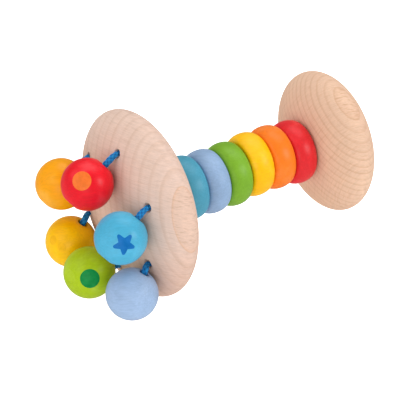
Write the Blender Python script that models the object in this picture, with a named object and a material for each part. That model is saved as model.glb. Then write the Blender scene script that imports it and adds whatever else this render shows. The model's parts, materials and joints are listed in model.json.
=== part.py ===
"""Wooden baby rattle: two turned beech discs on a spindle, six painted rings that turn
on it, and six painted beads on short cords in front of the large disc.

Frame, metres: origin at the centre of the flat land on the small disc's outer face,
+X along the spindle and out of that face, +Z up when the rattle lies on its side.
The large disc is at the -X end; its front, with the beads, faces -X.
Lengths below are in millimetres and are turned into metres by mm().
"""
import math
from collections import namedtuple

import bmesh
import bpy
from mathutils import Matrix, Vector

for old_object in list(bpy.data.objects):
    bpy.data.objects.remove(old_object, do_unlink=True)

# ---------------------------------------------------------------- discs and spindle (mm)
# Rim radius, half thicknesses towards -X and +X, fullness (power of the face's curve)
Disc = namedtuple("Disc", "radius neg_depth pos_depth fullness")
SMALL = Disc(radius=28.0, neg_depth=11.0, pos_depth=11.5, fullness=0.43)
LARGE = Disc(radius=36.5, neg_depth=12.25, pos_depth=12.25, fullness=0.45)
LAND_R = 9.0                 # flat land at the middle of every disc face
BORE_DEPTH = 13.5            # blind bores that hold the spindle
GLUE_GAP = 0.15              # radial, between spindle and bore

SPINDLE_R = 4.8
SPINDLE_END_GAP = 0.3        # from each end to the bottom of its bore
SPINDLE_CHAMFER = 0.6

# ---------------------------------------------------------------- rings (mm)
RING_BORE_R = 6.1            # loose running clearance on the spindle
RING_R = 12.5                # largest radius
RING_FACE_R = 9.8            # radius where the rounded rim meets the flat side
RING_ROUND = 2.1             # power of the rim's rounding, 2 is an ellipse
RING_BORE_CHAMFER = 0.4
RING_W = 9.5
RING_PITCH = 9.8
RING_END_GAP = 0.3           # between the last ring and the small disc
RING_PLAY = 3.3              # free length left on the spindle, at the large disc

# Rings from the large disc on: colour, height off the spindle's centre line, which stays
# inside the running clearance.
RINGS = [
    ("teal", 0.0), ("lavender", -0.3), ("green", -0.2),
    ("yellow", 0.9), ("orange", 0.9), ("red", 0.0),
]

# ---------------------------------------------------------------- cords and their holes (mm)
HOLE_CIRCLE_R = 24.5         # the cord holes lie on one circle
HOLE_R = 1.5
KNOT_BORE_R = 3.2            # counterbore behind the disc for the cord's knot
KNOT_BORE_DEPTH = 5.0
CUTTER_OVERSHOOT = 8.0       # how far a hole's cutter stands out of each face

CORD_R = 1.1
PIVOT_OUT = 0.8              # where the cord bends, in front of the hole's mouth
JOINT_GAP = 0.3              # between the bend and the cord on either side of it
CORD_START = CORD_R + JOINT_GAP     # from the pivot to the cord on either side

KNOT_R = 2.5
KNOT_HALF_LENGTH = 2.0
KNOT_SEAT_GAP = 0.3          # from the counterbore's floor to the knot
KNOT_NECK_R = 0.6 * CORD_R   # radius from which the knot swells

# ---------------------------------------------------------------- beads (mm)
BEAD_R = 9.85
BEAD_BORE_R = 2.0
BEAD_FLAT_R = 3.2            # radius of the small flat at each end of the bore
BEAD_HALF = math.sqrt(BEAD_R ** 2 - BEAD_FLAT_R ** 2)      # from centre to either flat
REST_GAP = 0.35              # a hanging bead's distance from the disc's face
MOUTH_OFFSET = 0.5           # a cord turning at the bead's mouth sits this far off the axis

PLUG_R = 1.85
PLUG_L = 3.6
PLUG_RECESS = 0.05           # the plug's outer end below the bore's mouth
PLUG_CHAMFER = 0.25
PLUG_START = BEAD_HALF - PLUG_L     # inner end, from the bead's centre

CORD_END = PLUG_START - 0.3         # tip of the cord, from the bead's centre
END_KNOT_R = BEAD_BORE_R - 0.25
# Knot inside the bead, just short of the plug: distance from the cord's tip, radius
END_KNOT = [(-3.6, CORD_R), (-2.8, END_KNOT_R), (-0.6, END_KNOT_R), (0.0, CORD_R)]

# One row per cord, from the top hole round towards -Y. Columns: colour; length from bend
# to bead centre; swing sideways, positive towards -Y; droop below the level, None where
# the bead hangs against the disc; and, for a bead that hangs over on its cord, its bore's
# own droop and swing. Angles in degrees.
CORDS = [
    ("red",      14.9,  -4.3, None,  None),
    ("sky",      13.9,  -0.7, None,  None),
    ("lavender", 11.9,  16.8, None,  (58.0, -8.0)),
    ("green",    13.3,   7.2, -11.0, None),
    ("yellow",   12.7,   5.1, None,  (60.0, -29.0)),
    ("amber",    13.8, -11.6, None,  None),
]


# ---------------------------------------------------------------- places along X (mm)
def face_offset(disc, r, side):
    """Signed X distance from a disc's rim plane to its face on side -1 or +1, at radius r."""
    depth = disc.pos_depth if side > 0 else disc.neg_depth
    ratio = max(r, LAND_R) / disc.radius
    return side * depth * math.sqrt(max(0.0, 1 - ratio ** (1 / disc.fullness)))


SMALL_X = -face_offset(SMALL, LAND_R, 1)                   # rim plane
SMALL_FACE_X = SMALL_X + face_offset(SMALL, LAND_R, -1)    # land facing the rings
LAST_RING_X = SMALL_FACE_X - RING_END_GAP - RING_W / 2
FIRST_RING_X = LAST_RING_X - (len(RINGS) - 1) * RING_PITCH
LARGE_FACE_X = FIRST_RING_X - RING_W / 2 - RING_PLAY       # land facing the rings
LARGE_X = LARGE_FACE_X - face_offset(LARGE, LAND_R, 1)     # rim plane

HOLE_FRONT_X = LARGE_X + face_offset(LARGE, HOLE_CIRCLE_R, -1)
HOLE_BACK_X = LARGE_X + face_offset(LARGE, HOLE_CIRCLE_R, 1)
KNOT_FLOOR_X = HOLE_BACK_X - KNOT_BORE_DEPTH
PIVOT_X = HOLE_FRONT_X - PIVOT_OUT


def mm(value):
    """A length or a Vector in mm, in metres."""
    return value * 0.001


# ---------------------------------------------------------------- materials
# Base colour, roughness
PALETTE = {
    "beech_large": ((0.78, 0.60, 0.46), 0.50),
    "beech_small": ((0.76, 0.55, 0.37), 0.50),
    "beech_raw": ((0.72, 0.54, 0.38), 0.60),
    "ring_teal": ((0.03, 0.32, 0.48), 0.32),
    "ring_lavender": ((0.28, 0.42, 0.75), 0.32),
    "ring_green": ((0.22, 0.45, 0.02), 0.32),
    "ring_yellow": ((0.90, 0.52, 0.01), 0.32),
    "ring_orange": ((0.80, 0.20, 0.02), 0.32),
    "ring_red": ((0.72, 0.02, 0.02), 0.32),
    "bead_red": ((0.72, 0.02, 0.03), 0.30),
    "bead_sky": ((0.10, 0.44, 0.78), 0.30),
    "bead_lavender": ((0.34, 0.48, 0.76), 0.30),
    "bead_green": ((0.40, 0.58, 0.01), 0.30),
    "bead_yellow": ((0.92, 0.50, 0.00), 0.30),
    "bead_amber": ((0.90, 0.36, 0.02), 0.30),
    "cord_blue": ((0.01, 0.11, 0.36), 0.85),
}


def material(name):
    """The named material, made on first use."""
    found = bpy.data.materials.get(name)
    if found is not None:
        return found
    colour, roughness = PALETTE[name]
    made = bpy.data.materials.new(name)
    made.use_nodes = True
    inputs = made.node_tree.nodes["Principled BSDF"].inputs
    inputs["Base Color"].default_value = (*colour, 1.0)
    inputs["Roughness"].default_value = roughness
    inputs["Metallic"].default_value = 0.0
    made.diffuse_color = (*colour, 1.0)
    return made


# ---------------------------------------------------------------- solids
def finish(name, bm, material_name):
    """Turn a bmesh into a linked, smooth-shaded object."""
    bmesh.ops.recalc_face_normals(bm, faces=bm.faces)
    mesh = bpy.data.meshes.new(name)
    bm.to_mesh(mesh)
    bm.free()
    if material_name:
        mesh.materials.append(material(material_name))
    mesh.shade_smooth()
    mesh.set_sharp_from_angle(angle=math.radians(35))
    made = bpy.data.objects.new(name, mesh)
    bpy.context.scene.collection.objects.link(made)
    return made


def turned(name, profile, segments, material_name, closed=False):
    """A solid of revolution about local +X. profile is a list of (x, r) in mm, in order
    of rising x along the outside. An open profile starts and ends on the axis (r = 0);
    a closed one runs on round a bore."""
    bm = bmesh.new()
    rows = []
    for x, r in profile:
        if r < 1e-9:
            rows.append([bm.verts.new((mm(x), 0.0, 0.0))])
            continue
        angles = [2 * math.pi * k / segments for k in range(segments)]
        rows.append([bm.verts.new((mm(x), mm(r * math.cos(a)), mm(r * math.sin(a))))
                     for a in angles])
    pairs = list(zip(rows, rows[1:]))
    if closed:
        pairs.append((rows[-1], rows[0]))
    for row, after in pairs:
        for k in range(segments):
            n = (k + 1) % segments
            if len(row) == 1:
                bm.faces.new((row[0], after[k], after[n]))
            elif len(after) == 1:
                bm.faces.new((row[k], after[0], row[n]))
            else:
                bm.faces.new((row[k], after[k], after[n], row[n]))
    return finish(name, bm, material_name)


def swept(name, points, radii, segments, material_name):
    """A round bar of changing radius along points (mm)."""
    bm = bmesh.new()
    last = len(points) - 1
    tangents = [(points[min(k + 1, last)] - points[max(k - 1, 0)]).normalized()
                for k in range(len(points))]
    across = tangents[0].orthogonal().normalized()
    rows = []
    for point, tangent, radius in zip(points, tangents, radii):
        # carry the cross direction along, so that the bar doesn't twist
        across = (across - across.dot(tangent) * tangent).normalized()
        other = tangent.cross(across)
        angles = [2 * math.pi * k / segments for k in range(segments)]
        rows.append([bm.verts.new(mm(point + radius * (math.cos(a) * across
                                                       + math.sin(a) * other)))
                     for a in angles])
    for row, after in zip(rows, rows[1:]):
        for k in range(segments):
            n = (k + 1) % segments
            bm.faces.new((row[k], after[k], after[n], row[n]))
    for row, point in ((rows[0], points[0]), (rows[-1], points[-1])):
        tip = bm.verts.new(mm(point))
        for k in range(segments):
            bm.faces.new((row[k], row[(k + 1) % segments], tip))
    bmesh.ops.triangulate(bm, faces=bm.faces)
    return finish(name, bm, material_name)


def attach(piece, parent):
    """Parent a piece and keep it where it is."""
    piece.parent = parent
    piece.matrix_parent_inverse = parent.matrix_world.inverted()


def place_along(piece, origin, direction, parent):
    """Put a turned piece at origin (mm) with its local +X along direction."""
    x_axis = direction.normalized()
    up = Vector((0, 0, 1)) if abs(x_axis.z) < 0.95 else Vector((0, 1, 0))
    y_axis = up.cross(x_axis).normalized()
    z_axis = x_axis.cross(y_axis)
    placement = Matrix((x_axis, y_axis, z_axis)).transposed().to_4x4()
    placement.translation = mm(origin)
    piece.matrix_world = placement
    attach(piece, parent)


# ---------------------------------------------------------------- discs, spindle, rings
def build_disc(name, disc, rim_x, bore_side, steps, segments):
    """A lens-shaped disc with a land on each face and a blind bore on side -1 or +1."""
    land_angle = math.asin(math.sqrt(1 - (LAND_R / disc.radius) ** (1 / disc.fullness)))
    outline = []
    for k in range(-steps, steps + 1):
        t = math.sin(land_angle * k / steps)
        depth = disc.neg_depth if k < 0 else disc.pos_depth
        outline.append((rim_x + t * depth, disc.radius * (1 - t * t) ** disc.fullness))
    mouth_x = rim_x + face_offset(disc, LAND_R, bore_side)
    end_x = mouth_x - bore_side * BORE_DEPTH
    bore_r = SPINDLE_R + GLUE_GAP
    bore = [(end_x, 0.0), (end_x, bore_r), (mouth_x, bore_r)]
    if bore_side < 0:
        profile = bore + outline + [(outline[-1][0], 0.0)]
    else:
        profile = [(outline[0][0], 0.0)] + outline + bore[::-1]
    return turned(name, profile, segments, "beech_" + name.split("_")[0])


def build_spindle():
    """A plain bar with chamfered ends, from bore to bore."""
    start = LARGE_FACE_X - BORE_DEPTH + SPINDLE_END_GAP
    end = SMALL_FACE_X + BORE_DEPTH - SPINDLE_END_GAP
    end_r = SPINDLE_R - SPINDLE_CHAMFER
    profile = [(start, 0), (start, end_r), (start + SPINDLE_CHAMFER, SPINDLE_R),
               (end - SPINDLE_CHAMFER, SPINDLE_R), (end, end_r), (end, 0)]
    turned("spindle", profile, 32, "beech_raw")


def ring_profile(steps=5):
    """Barrel-shaped rim between two flat sides, then the bore with eased edges."""
    half = RING_W / 2
    points = []
    for k in range(-steps, steps + 1):
        t = math.sin(math.pi / 2 * k / steps)
        bulge = max(0.0, 1 - abs(t) ** RING_ROUND) ** (1 / RING_ROUND)
        points.append((t * half, RING_FACE_R + (RING_R - RING_FACE_R) * bulge))
    eased_r = RING_BORE_R + RING_BORE_CHAMFER
    eased_x = half - RING_BORE_CHAMFER
    return points + [(half, eased_r), (eased_x, RING_BORE_R),
                     (-eased_x, RING_BORE_R), (-half, eased_r)]


def build_rings():
    for i, (colour, height) in enumerate(RINGS):
        ring = turned("ring_" + colour, ring_profile(), 32, "ring_" + colour, closed=True)
        ring.location = (mm(FIRST_RING_X + i * RING_PITCH), 0, mm(height))


# ---------------------------------------------------------------- how a bead hangs
def direction_from(droop, swing):
    """Unit vector towards -X, drooping below the level and swung towards -Y (degrees)."""
    d, s = math.radians(droop), math.radians(swing)
    return Vector((-math.cos(d) * math.cos(s), -math.cos(d) * math.sin(s), -math.sin(d)))


def disc_gap(point, samples=1200):
    """Distance from a point in front of the large disc to its front face."""
    point_r = math.hypot(point.y, point.z)
    radii = [LARGE.radius * k / samples for k in range(samples + 1)]
    return min(math.hypot(point.x - LARGE_X - face_offset(LARGE, r, -1), point_r - r)
               for r in radii)


def resting_droop(pivot, length, swing):
    """Droop at which a hanging bead meets the disc, by bisection."""
    low, high = 20.0, 80.0
    for _ in range(30):
        middle = (low + high) / 2
        if disc_gap(pivot + length * direction_from(middle, swing)) > BEAD_R + REST_GAP:
            low = middle
        else:
            high = middle
    return low


def mouth_turn(pivot, centre, bore, steps=6):
    """Centre line, in mm from the pivot, of a cord that runs straight from its bend towards
    the bead's mouth, turns round the mouth's edge and is in the bore."""
    mouth = centre - BEAD_HALF * bore
    back = pivot - mouth
    outward = (back - back.dot(bore) * bore).normalized()
    corner = mouth + BEAD_BORE_R * outward
    turn_r = BEAD_BORE_R - MOUTH_OFFSET
    out = (pivot - corner).dot(outward)
    behind = -(pivot - corner).dot(bore)
    full_angle = math.atan2(out, behind) + math.asin(turn_r / math.hypot(out, behind))
    angles = [full_angle * (1 - k / steps) for k in range(steps + 1)]
    return [corner - turn_r * (math.cos(a) * outward + math.sin(a) * bore) - pivot
            for a in angles]


# ---------------------------------------------------------------- cords and beads
def drill_hole(colour, y, z, disc):
    """Stepped hole through the disc: cord hole in front, wider behind."""
    front = HOLE_FRONT_X - CUTTER_OVERSHOOT
    back = HOLE_BACK_X + CUTTER_OVERSHOOT
    profile = [(front, 0), (front, HOLE_R), (KNOT_FLOOR_X, HOLE_R),
               (KNOT_FLOOR_X, KNOT_BORE_R), (back, KNOT_BORE_R), (back, 0)]
    cutter = turned("cut_hole_" + colour, profile, 16, None)
    cutter.hide_render = True
    cutter.display_type = 'WIRE'
    cutter.location = (0, mm(y), mm(z))
    cut = disc.modifiers.new("hole_" + colour, 'BOOLEAN')
    cut.object = cutter
    cut.operation = 'DIFFERENCE'
    cut.solver = 'EXACT'


def build_joint(colour, pivot):
    """Empty at the cord's bend, parent of the cord's pieces and its bead."""
    joint = bpy.data.objects.new("pivot_" + colour, None)
    joint.empty_display_size = 0.01
    joint.location = mm(pivot)
    bpy.context.scene.collection.objects.link(joint)
    # attach() reads the joint's world matrix
    bpy.context.view_layer.update()
    return joint


def build_anchor(colour, pivot, joint, steps=5):
    """Cord inside the disc, ending in its knot."""
    knot_x = KNOT_FLOOR_X + KNOT_SEAT_GAP - PIVOT_X
    profile = [(CORD_START, 0), (CORD_START, CORD_R), (knot_x, CORD_R)]
    for k in range(1, steps):
        t = math.pi * k / steps
        profile.append((knot_x + KNOT_HALF_LENGTH * (1 - math.cos(t)),
                        KNOT_NECK_R + (KNOT_R - KNOT_NECK_R) * math.sin(t)))
    profile.append((knot_x + 2 * KNOT_HALF_LENGTH, 0))
    anchor = turned("cord_anchor_" + colour, profile, 12, "cord_blue")
    place_along(anchor, pivot, Vector((1, 0, 0)), joint)


def build_bend(colour, pivot, axis, joint, steps=6):
    """The bend: a short round link of cord centred on the pivot."""
    angles = [math.pi * k / steps for k in range(steps + 1)]
    profile = [(-CORD_R * math.cos(a), CORD_R * math.sin(a)) for a in angles]
    bend = turned("cord_bend_" + colour, profile, 10, "cord_blue")
    place_along(bend, pivot, axis, joint)


def build_straight_end(colour, pivot, length, axis, joint):
    """Free cord that runs straight into the bead, to its end knot."""
    tip = length + CORD_END
    profile = [(CORD_START, 0), (CORD_START, CORD_R)]
    profile += [(tip + x, r) for x, r in END_KNOT]
    profile.append((tip, 0))
    cord = turned("cord_end_" + colour, profile, 12, "cord_blue")
    place_along(cord, pivot, axis, joint)


def build_turned_end(colour, pivot, centre, bore, joint):
    """Free cord that turns at the mouth of a bead hanging over, to its end knot."""
    arc = mouth_turn(pivot, centre, bore)
    first = arc[0].normalized() * CORD_START
    points = [first, first.lerp(arc[0], 0.5)] + arc
    radii = [CORD_R] * len(points)
    for x, r in END_KNOT:
        points.append(centre - pivot + (CORD_END + x) * bore)
        radii.append(r)
    cord = swept("cord_end_" + colour, points, radii, 12, "cord_blue")
    cord.location = mm(pivot)
    attach(cord, joint)


def build_bead(colour, centre, bore, joint, steps=5):
    """A ball with a bore and a small flat at each of its mouths."""
    flat_angle = math.asin(BEAD_HALF / BEAD_R)
    angles = [flat_angle * k / steps for k in range(-steps, steps + 1)]
    profile = [(BEAD_R * math.sin(a), BEAD_R * math.cos(a)) for a in angles]
    profile += [(BEAD_HALF, BEAD_BORE_R), (-BEAD_HALF, BEAD_BORE_R)]
    bead = turned("bead_" + colour, profile, 26, "bead_" + colour, closed=True)
    place_along(bead, centre, bore, joint)


def build_plug(colour, centre, bore, joint):
    """Plug in the bead's outer mouth."""
    end = PLUG_L - PLUG_RECESS
    profile = [(0, 0), (0, PLUG_R), (end - PLUG_CHAMFER, PLUG_R),
               (end, PLUG_R - PLUG_CHAMFER), (end, 0)]
    plug = turned("bead_plug_" + colour, profile, 14, "beech_raw")
    place_along(plug, centre + PLUG_START * bore, bore, joint)


def build_cords(disc):
    """Each cord with its hole and its bead."""
    for seat, (colour, length, swing, droop, lean) in enumerate(CORDS):
        angle = math.radians(90 + seat * 360 / len(CORDS))
        y, z = HOLE_CIRCLE_R * math.cos(angle), HOLE_CIRCLE_R * math.sin(angle)
        drill_hole(colour, y, z, disc)

        pivot = Vector((PIVOT_X, y, z))
        if droop is None:
            droop = resting_droop(pivot, length, swing)
        axis = direction_from(droop, swing)
        bore = direction_from(*lean) if lean else axis
        centre = pivot + length * axis

        joint = build_joint(colour, pivot)
        build_anchor(colour, pivot, joint)
        build_bend(colour, pivot, axis, joint)
        if lean:
            build_turned_end(colour, pivot, centre, bore, joint)
        else:
            build_straight_end(colour, pivot, length, axis, joint)
        build_bead(colour, centre, bore, joint)
        build_plug(colour, centre, bore, joint)


build_disc("small_disc", SMALL, SMALL_X, bore_side=-1, steps=6, segments=44)
large_disc = build_disc("large_disc", LARGE, LARGE_X, bore_side=1, steps=7, segments=54)
build_spindle()
build_rings()
build_cords(large_disc)
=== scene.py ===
"""Wooden grasping toy: a spindle along X joins a large disc at its -X end to a small disc at
its +X end. Six painted rings ride on the spindle, and six painted beads hang on braided cords
from holes in the large disc's outer (-X) face. Each cord is knotted in a counterbore in the
disc's inner (+X) face. Sizes are in mm and meshes in metres, with +Z up.
"""
import json
import math
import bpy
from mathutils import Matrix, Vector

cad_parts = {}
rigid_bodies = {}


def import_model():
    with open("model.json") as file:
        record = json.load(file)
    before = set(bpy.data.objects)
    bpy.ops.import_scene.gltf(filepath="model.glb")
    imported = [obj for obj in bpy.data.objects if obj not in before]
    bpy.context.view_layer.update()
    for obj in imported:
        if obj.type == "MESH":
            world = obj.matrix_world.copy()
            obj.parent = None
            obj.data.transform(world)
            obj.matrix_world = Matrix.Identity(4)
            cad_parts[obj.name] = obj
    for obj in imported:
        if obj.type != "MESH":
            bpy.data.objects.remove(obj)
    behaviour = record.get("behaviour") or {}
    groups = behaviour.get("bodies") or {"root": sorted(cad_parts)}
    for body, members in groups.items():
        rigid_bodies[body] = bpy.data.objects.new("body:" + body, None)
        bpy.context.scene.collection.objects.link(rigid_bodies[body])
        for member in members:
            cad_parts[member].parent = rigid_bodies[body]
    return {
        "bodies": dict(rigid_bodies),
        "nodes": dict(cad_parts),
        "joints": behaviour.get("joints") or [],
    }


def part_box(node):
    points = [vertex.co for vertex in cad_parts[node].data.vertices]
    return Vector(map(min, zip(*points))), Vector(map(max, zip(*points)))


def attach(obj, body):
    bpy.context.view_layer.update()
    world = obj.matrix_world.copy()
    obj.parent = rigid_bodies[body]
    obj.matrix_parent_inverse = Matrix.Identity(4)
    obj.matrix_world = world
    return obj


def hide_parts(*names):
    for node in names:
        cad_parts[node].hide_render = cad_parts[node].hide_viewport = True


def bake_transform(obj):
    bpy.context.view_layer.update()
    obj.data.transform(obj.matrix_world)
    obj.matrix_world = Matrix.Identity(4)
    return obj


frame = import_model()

from types import SimpleNamespace

import bmesh
import bpy
import numpy as np
from mathutils import Matrix, Vector

NODES = frame["nodes"]
JOINTS = {joint["name"]: joint for joint in frame["joints"]}

# Only the CAD model stays in the file.
cad_objects = set(NODES.values()) | set(frame["bodies"].values())
for leftover in list(bpy.data.objects):
    if leftover not in cad_objects:
        bpy.data.objects.remove(leftover, do_unlink=True)
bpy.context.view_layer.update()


def mm(value):
    return value * 0.001


def mid(node):
    """Mean of a CAD node's vertices, in mm."""
    return Vector(np.array([v.co for v in NODES[node].data.vertices]).mean(0) * 1000)


def cad_box(node):
    lo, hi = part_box(node)
    return lo * 1000, hi * 1000


# ------------------------------------------------------------------ sizes (mm)
SPINDLE_R = 4.8
DISC_BORE_R = 4.95
DISC_BORE_DEPTH = 13.5
LAND_R = 9.0                        # flat land in the middle of a disc's face
DISC_STEPS = 80                     # outline steps on each side of the rim

RING_BORE_R = 6.1
RING_FACE_R = 9.8                   # where a ring's flat faces end
RING_ROUND = 2.1                    # exponent of a ring's outer curve

HOLE_R = 1.5                        # cord hole through the large disc
HOLE_EASE_R = 0.80                  # rounding of its mouth
HOLE_WEAR = 0.2                     # shift of that rounding away from the bead
KNOT_BORE_R = 3.2
KNOT_BORE_DEPTH = 5.0

BEAD_R = 9.85
BEAD_BORE_R = 2.0
BEAD_FLAT_R = 3.2                   # flat round each end of the bore
BEAD_HALF = math.sqrt(BEAD_R ** 2 - BEAD_FLAT_R ** 2)
PLUG_R = 1.985
PLUG_L = 3.6
PLUG_SUNK = 0.004


def land_share(radius, power):
    """Share of a disc's full lens half-thickness that is left at the land."""
    return math.sqrt(1 - (LAND_R / radius) ** (1 / power))


def large_disc_shape():
    lo, hi = cad_box("large_disc")
    radius = (hi.y - lo.y) / 2
    power = 0.45
    half = (hi.x - lo.x) / 2 / land_share(radius, power)
    return SimpleNamespace(rim_x=(lo.x + hi.x) / 2, radius=radius, power=power, half_neg=half,
                           half_pos=half, bore_side=1, bore_end=hi.x - DISC_BORE_DEPTH)


def small_disc_shape():
    lo, hi = cad_box("small_disc")
    radius = (hi.y - lo.y) / 2
    power = 0.43
    outer_share = 11.5 / 22.5       # share of the thickness on the +X side of the rim
    rim_x = hi.x - (hi.x - lo.x) * outer_share
    land = land_share(radius, power)
    return SimpleNamespace(rim_x=rim_x, radius=radius, power=power,
                           half_neg=(rim_x - lo.x) / land, half_pos=(hi.x - rim_x) / land,
                           bore_side=-1, bore_end=lo.x + DISC_BORE_DEPTH)


LARGE = large_disc_shape()
SMALL = small_disc_shape()

# ------------------------------------------------------------------ colours (linear RGB)
RING_COLOURS = {
    "teal": (0.080, 0.365, 0.520),
    "lavender": (0.300, 0.450, 0.680),
    "green": (0.210, 0.450, 0.028),
    "yellow": (0.990, 0.560, 0.001),
    "orange": (0.910, 0.215, 0.012),
    "red": (0.780, 0.022, 0.028),
}
BEAD_COLOURS = {
    "red": (0.860, 0.006, 0.018),
    "sky": (0.075, 0.440, 0.670),
    "lavender": (0.360, 0.505, 0.740),
    "green": (0.430, 0.600, 0.008),
    "yellow": (1.000, 0.612, 0.000),
    "amber": (0.920, 0.400, 0.002),
}


# ------------------------------------------------------------------ node graphs
class Graph:
    """A short way to write a material's nodes."""

    def __init__(self, name, viewport):
        self.mat = bpy.data.materials.new(name)
        self.mat.use_nodes = True
        self.mat.diffuse_color = (*viewport, 1)
        self.tree = self.mat.node_tree
        self.bsdf = self.tree.nodes["Principled BSDF"]
        self.bsdf.inputs["Base Color"].default_value = (*viewport, 1)

    def put(self, kind, **props):
        node = self.tree.nodes.new(kind)
        for key, value in props.items():
            setattr(node, key, value)
        return node

    def join(self, value, socket):
        """Links an output, or sets a number, vector or colour."""
        if isinstance(value, bpy.types.NodeSocket):
            self.tree.links.new(value, socket)
        elif isinstance(value, (tuple, Vector)):
            items = tuple(value)
            is_colour = len(items) == 3 and len(socket.default_value) == 4
            socket.default_value = items + (1.0,) if is_colour else items
        else:
            socket.default_value = value

    def math(self, operation, a, b=0.0, clamp=False):
        node = self.put("ShaderNodeMath", operation=operation, use_clamp=clamp)
        for socket, value in zip(node.inputs, (a, b, 0.0)):
            self.join(value, socket)
        return node.outputs[0]

    def add(self, a, b):
        return self.math("ADD", a, b)

    def sub(self, a, b):
        return self.math("SUBTRACT", a, b)

    def mul(self, a, b, clamp=False):
        return self.math("MULTIPLY", a, b, clamp)

    def dot(self, vector, axis):
        node = self.put("ShaderNodeVectorMath", operation="DOT_PRODUCT")
        self.join(vector, node.inputs[0])
        self.join(axis, node.inputs[1])
        return node.outputs["Value"]

    def vec(self, x, y, z):
        node = self.put("ShaderNodeCombineXYZ")
        for socket, value in zip(node.inputs, (x, y, z)):
            self.join(value, socket)
        return node.outputs[0]

    def noise(self, vector, seed, scale=1.0, detail=2.0, rough=0.5):
        node = self.put("ShaderNodeTexNoise", noise_dimensions="4D")
        inputs = {"Vector": vector, "W": seed, "Scale": scale, "Detail": detail,
                  "Roughness": rough}
        for key, value in inputs.items():
            self.join(value, node.inputs[key])
        return node.outputs["Fac"]

    def grain(self, coords, scales, **noise):
        """Noise with its own scale (per mm) along each of three coordinates."""
        return self.noise(self.vec(*(self.mul(c, s) for c, s in zip(coords, scales))), **noise)

    def ramp(self, value, span, to=(0.0, 1.0), smooth=False):
        """Maps value from span to the range `to`, clamped."""
        node = self.put("ShaderNodeMapRange", clamp=True,
                        interpolation_type="SMOOTHSTEP" if smooth else "LINEAR")
        for i, item in enumerate((value, *span, *to)):
            self.join(item, node.inputs[i])
        return node.outputs["Result"]

    def mix(self, share, a, b, blend="MIX"):
        node = self.put("ShaderNodeMix", data_type="RGBA", blend_type=blend)
        # sockets 6 and 7, and output 2, are the colour ones
        self.join(share, node.inputs[0])
        self.join(a, node.inputs[6])
        self.join(b, node.inputs[7])
        return node.outputs[2]

    def tint(self, colour, value):
        """Colour, or any vector, times a number."""
        node = self.put("ShaderNodeVectorMath", operation="SCALE")
        self.join(colour, node.inputs[0])
        self.join(value, node.inputs["Scale"])
        return node.outputs[0]

    def bump(self, height, depth, strength):
        node = self.put("ShaderNodeBump")
        self.join(height, node.inputs["Height"])
        node.inputs["Distance"].default_value = mm(depth)
        node.inputs["Strength"].default_value = strength
        return node.outputs[0]

    def object_mm(self):
        return self.tint(self.put("ShaderNodeTexCoord").outputs["Object"], 1000.0)

    def finish(self, inputs):
        """Sets the surface's inputs and gives the material."""
        for key, value in inputs.items():
            self.join(value, self.bsdf.inputs[key])
        return self.mat


def triad(normal, fibre):
    """Orthonormal (fibre, across, normal) from a layer normal and a rough fibre direction."""
    out = Vector(normal).normalized()
    along = Vector(fibre)
    along = (along - along.dot(out) * out).normalized()
    return along, out.cross(along), out


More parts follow.
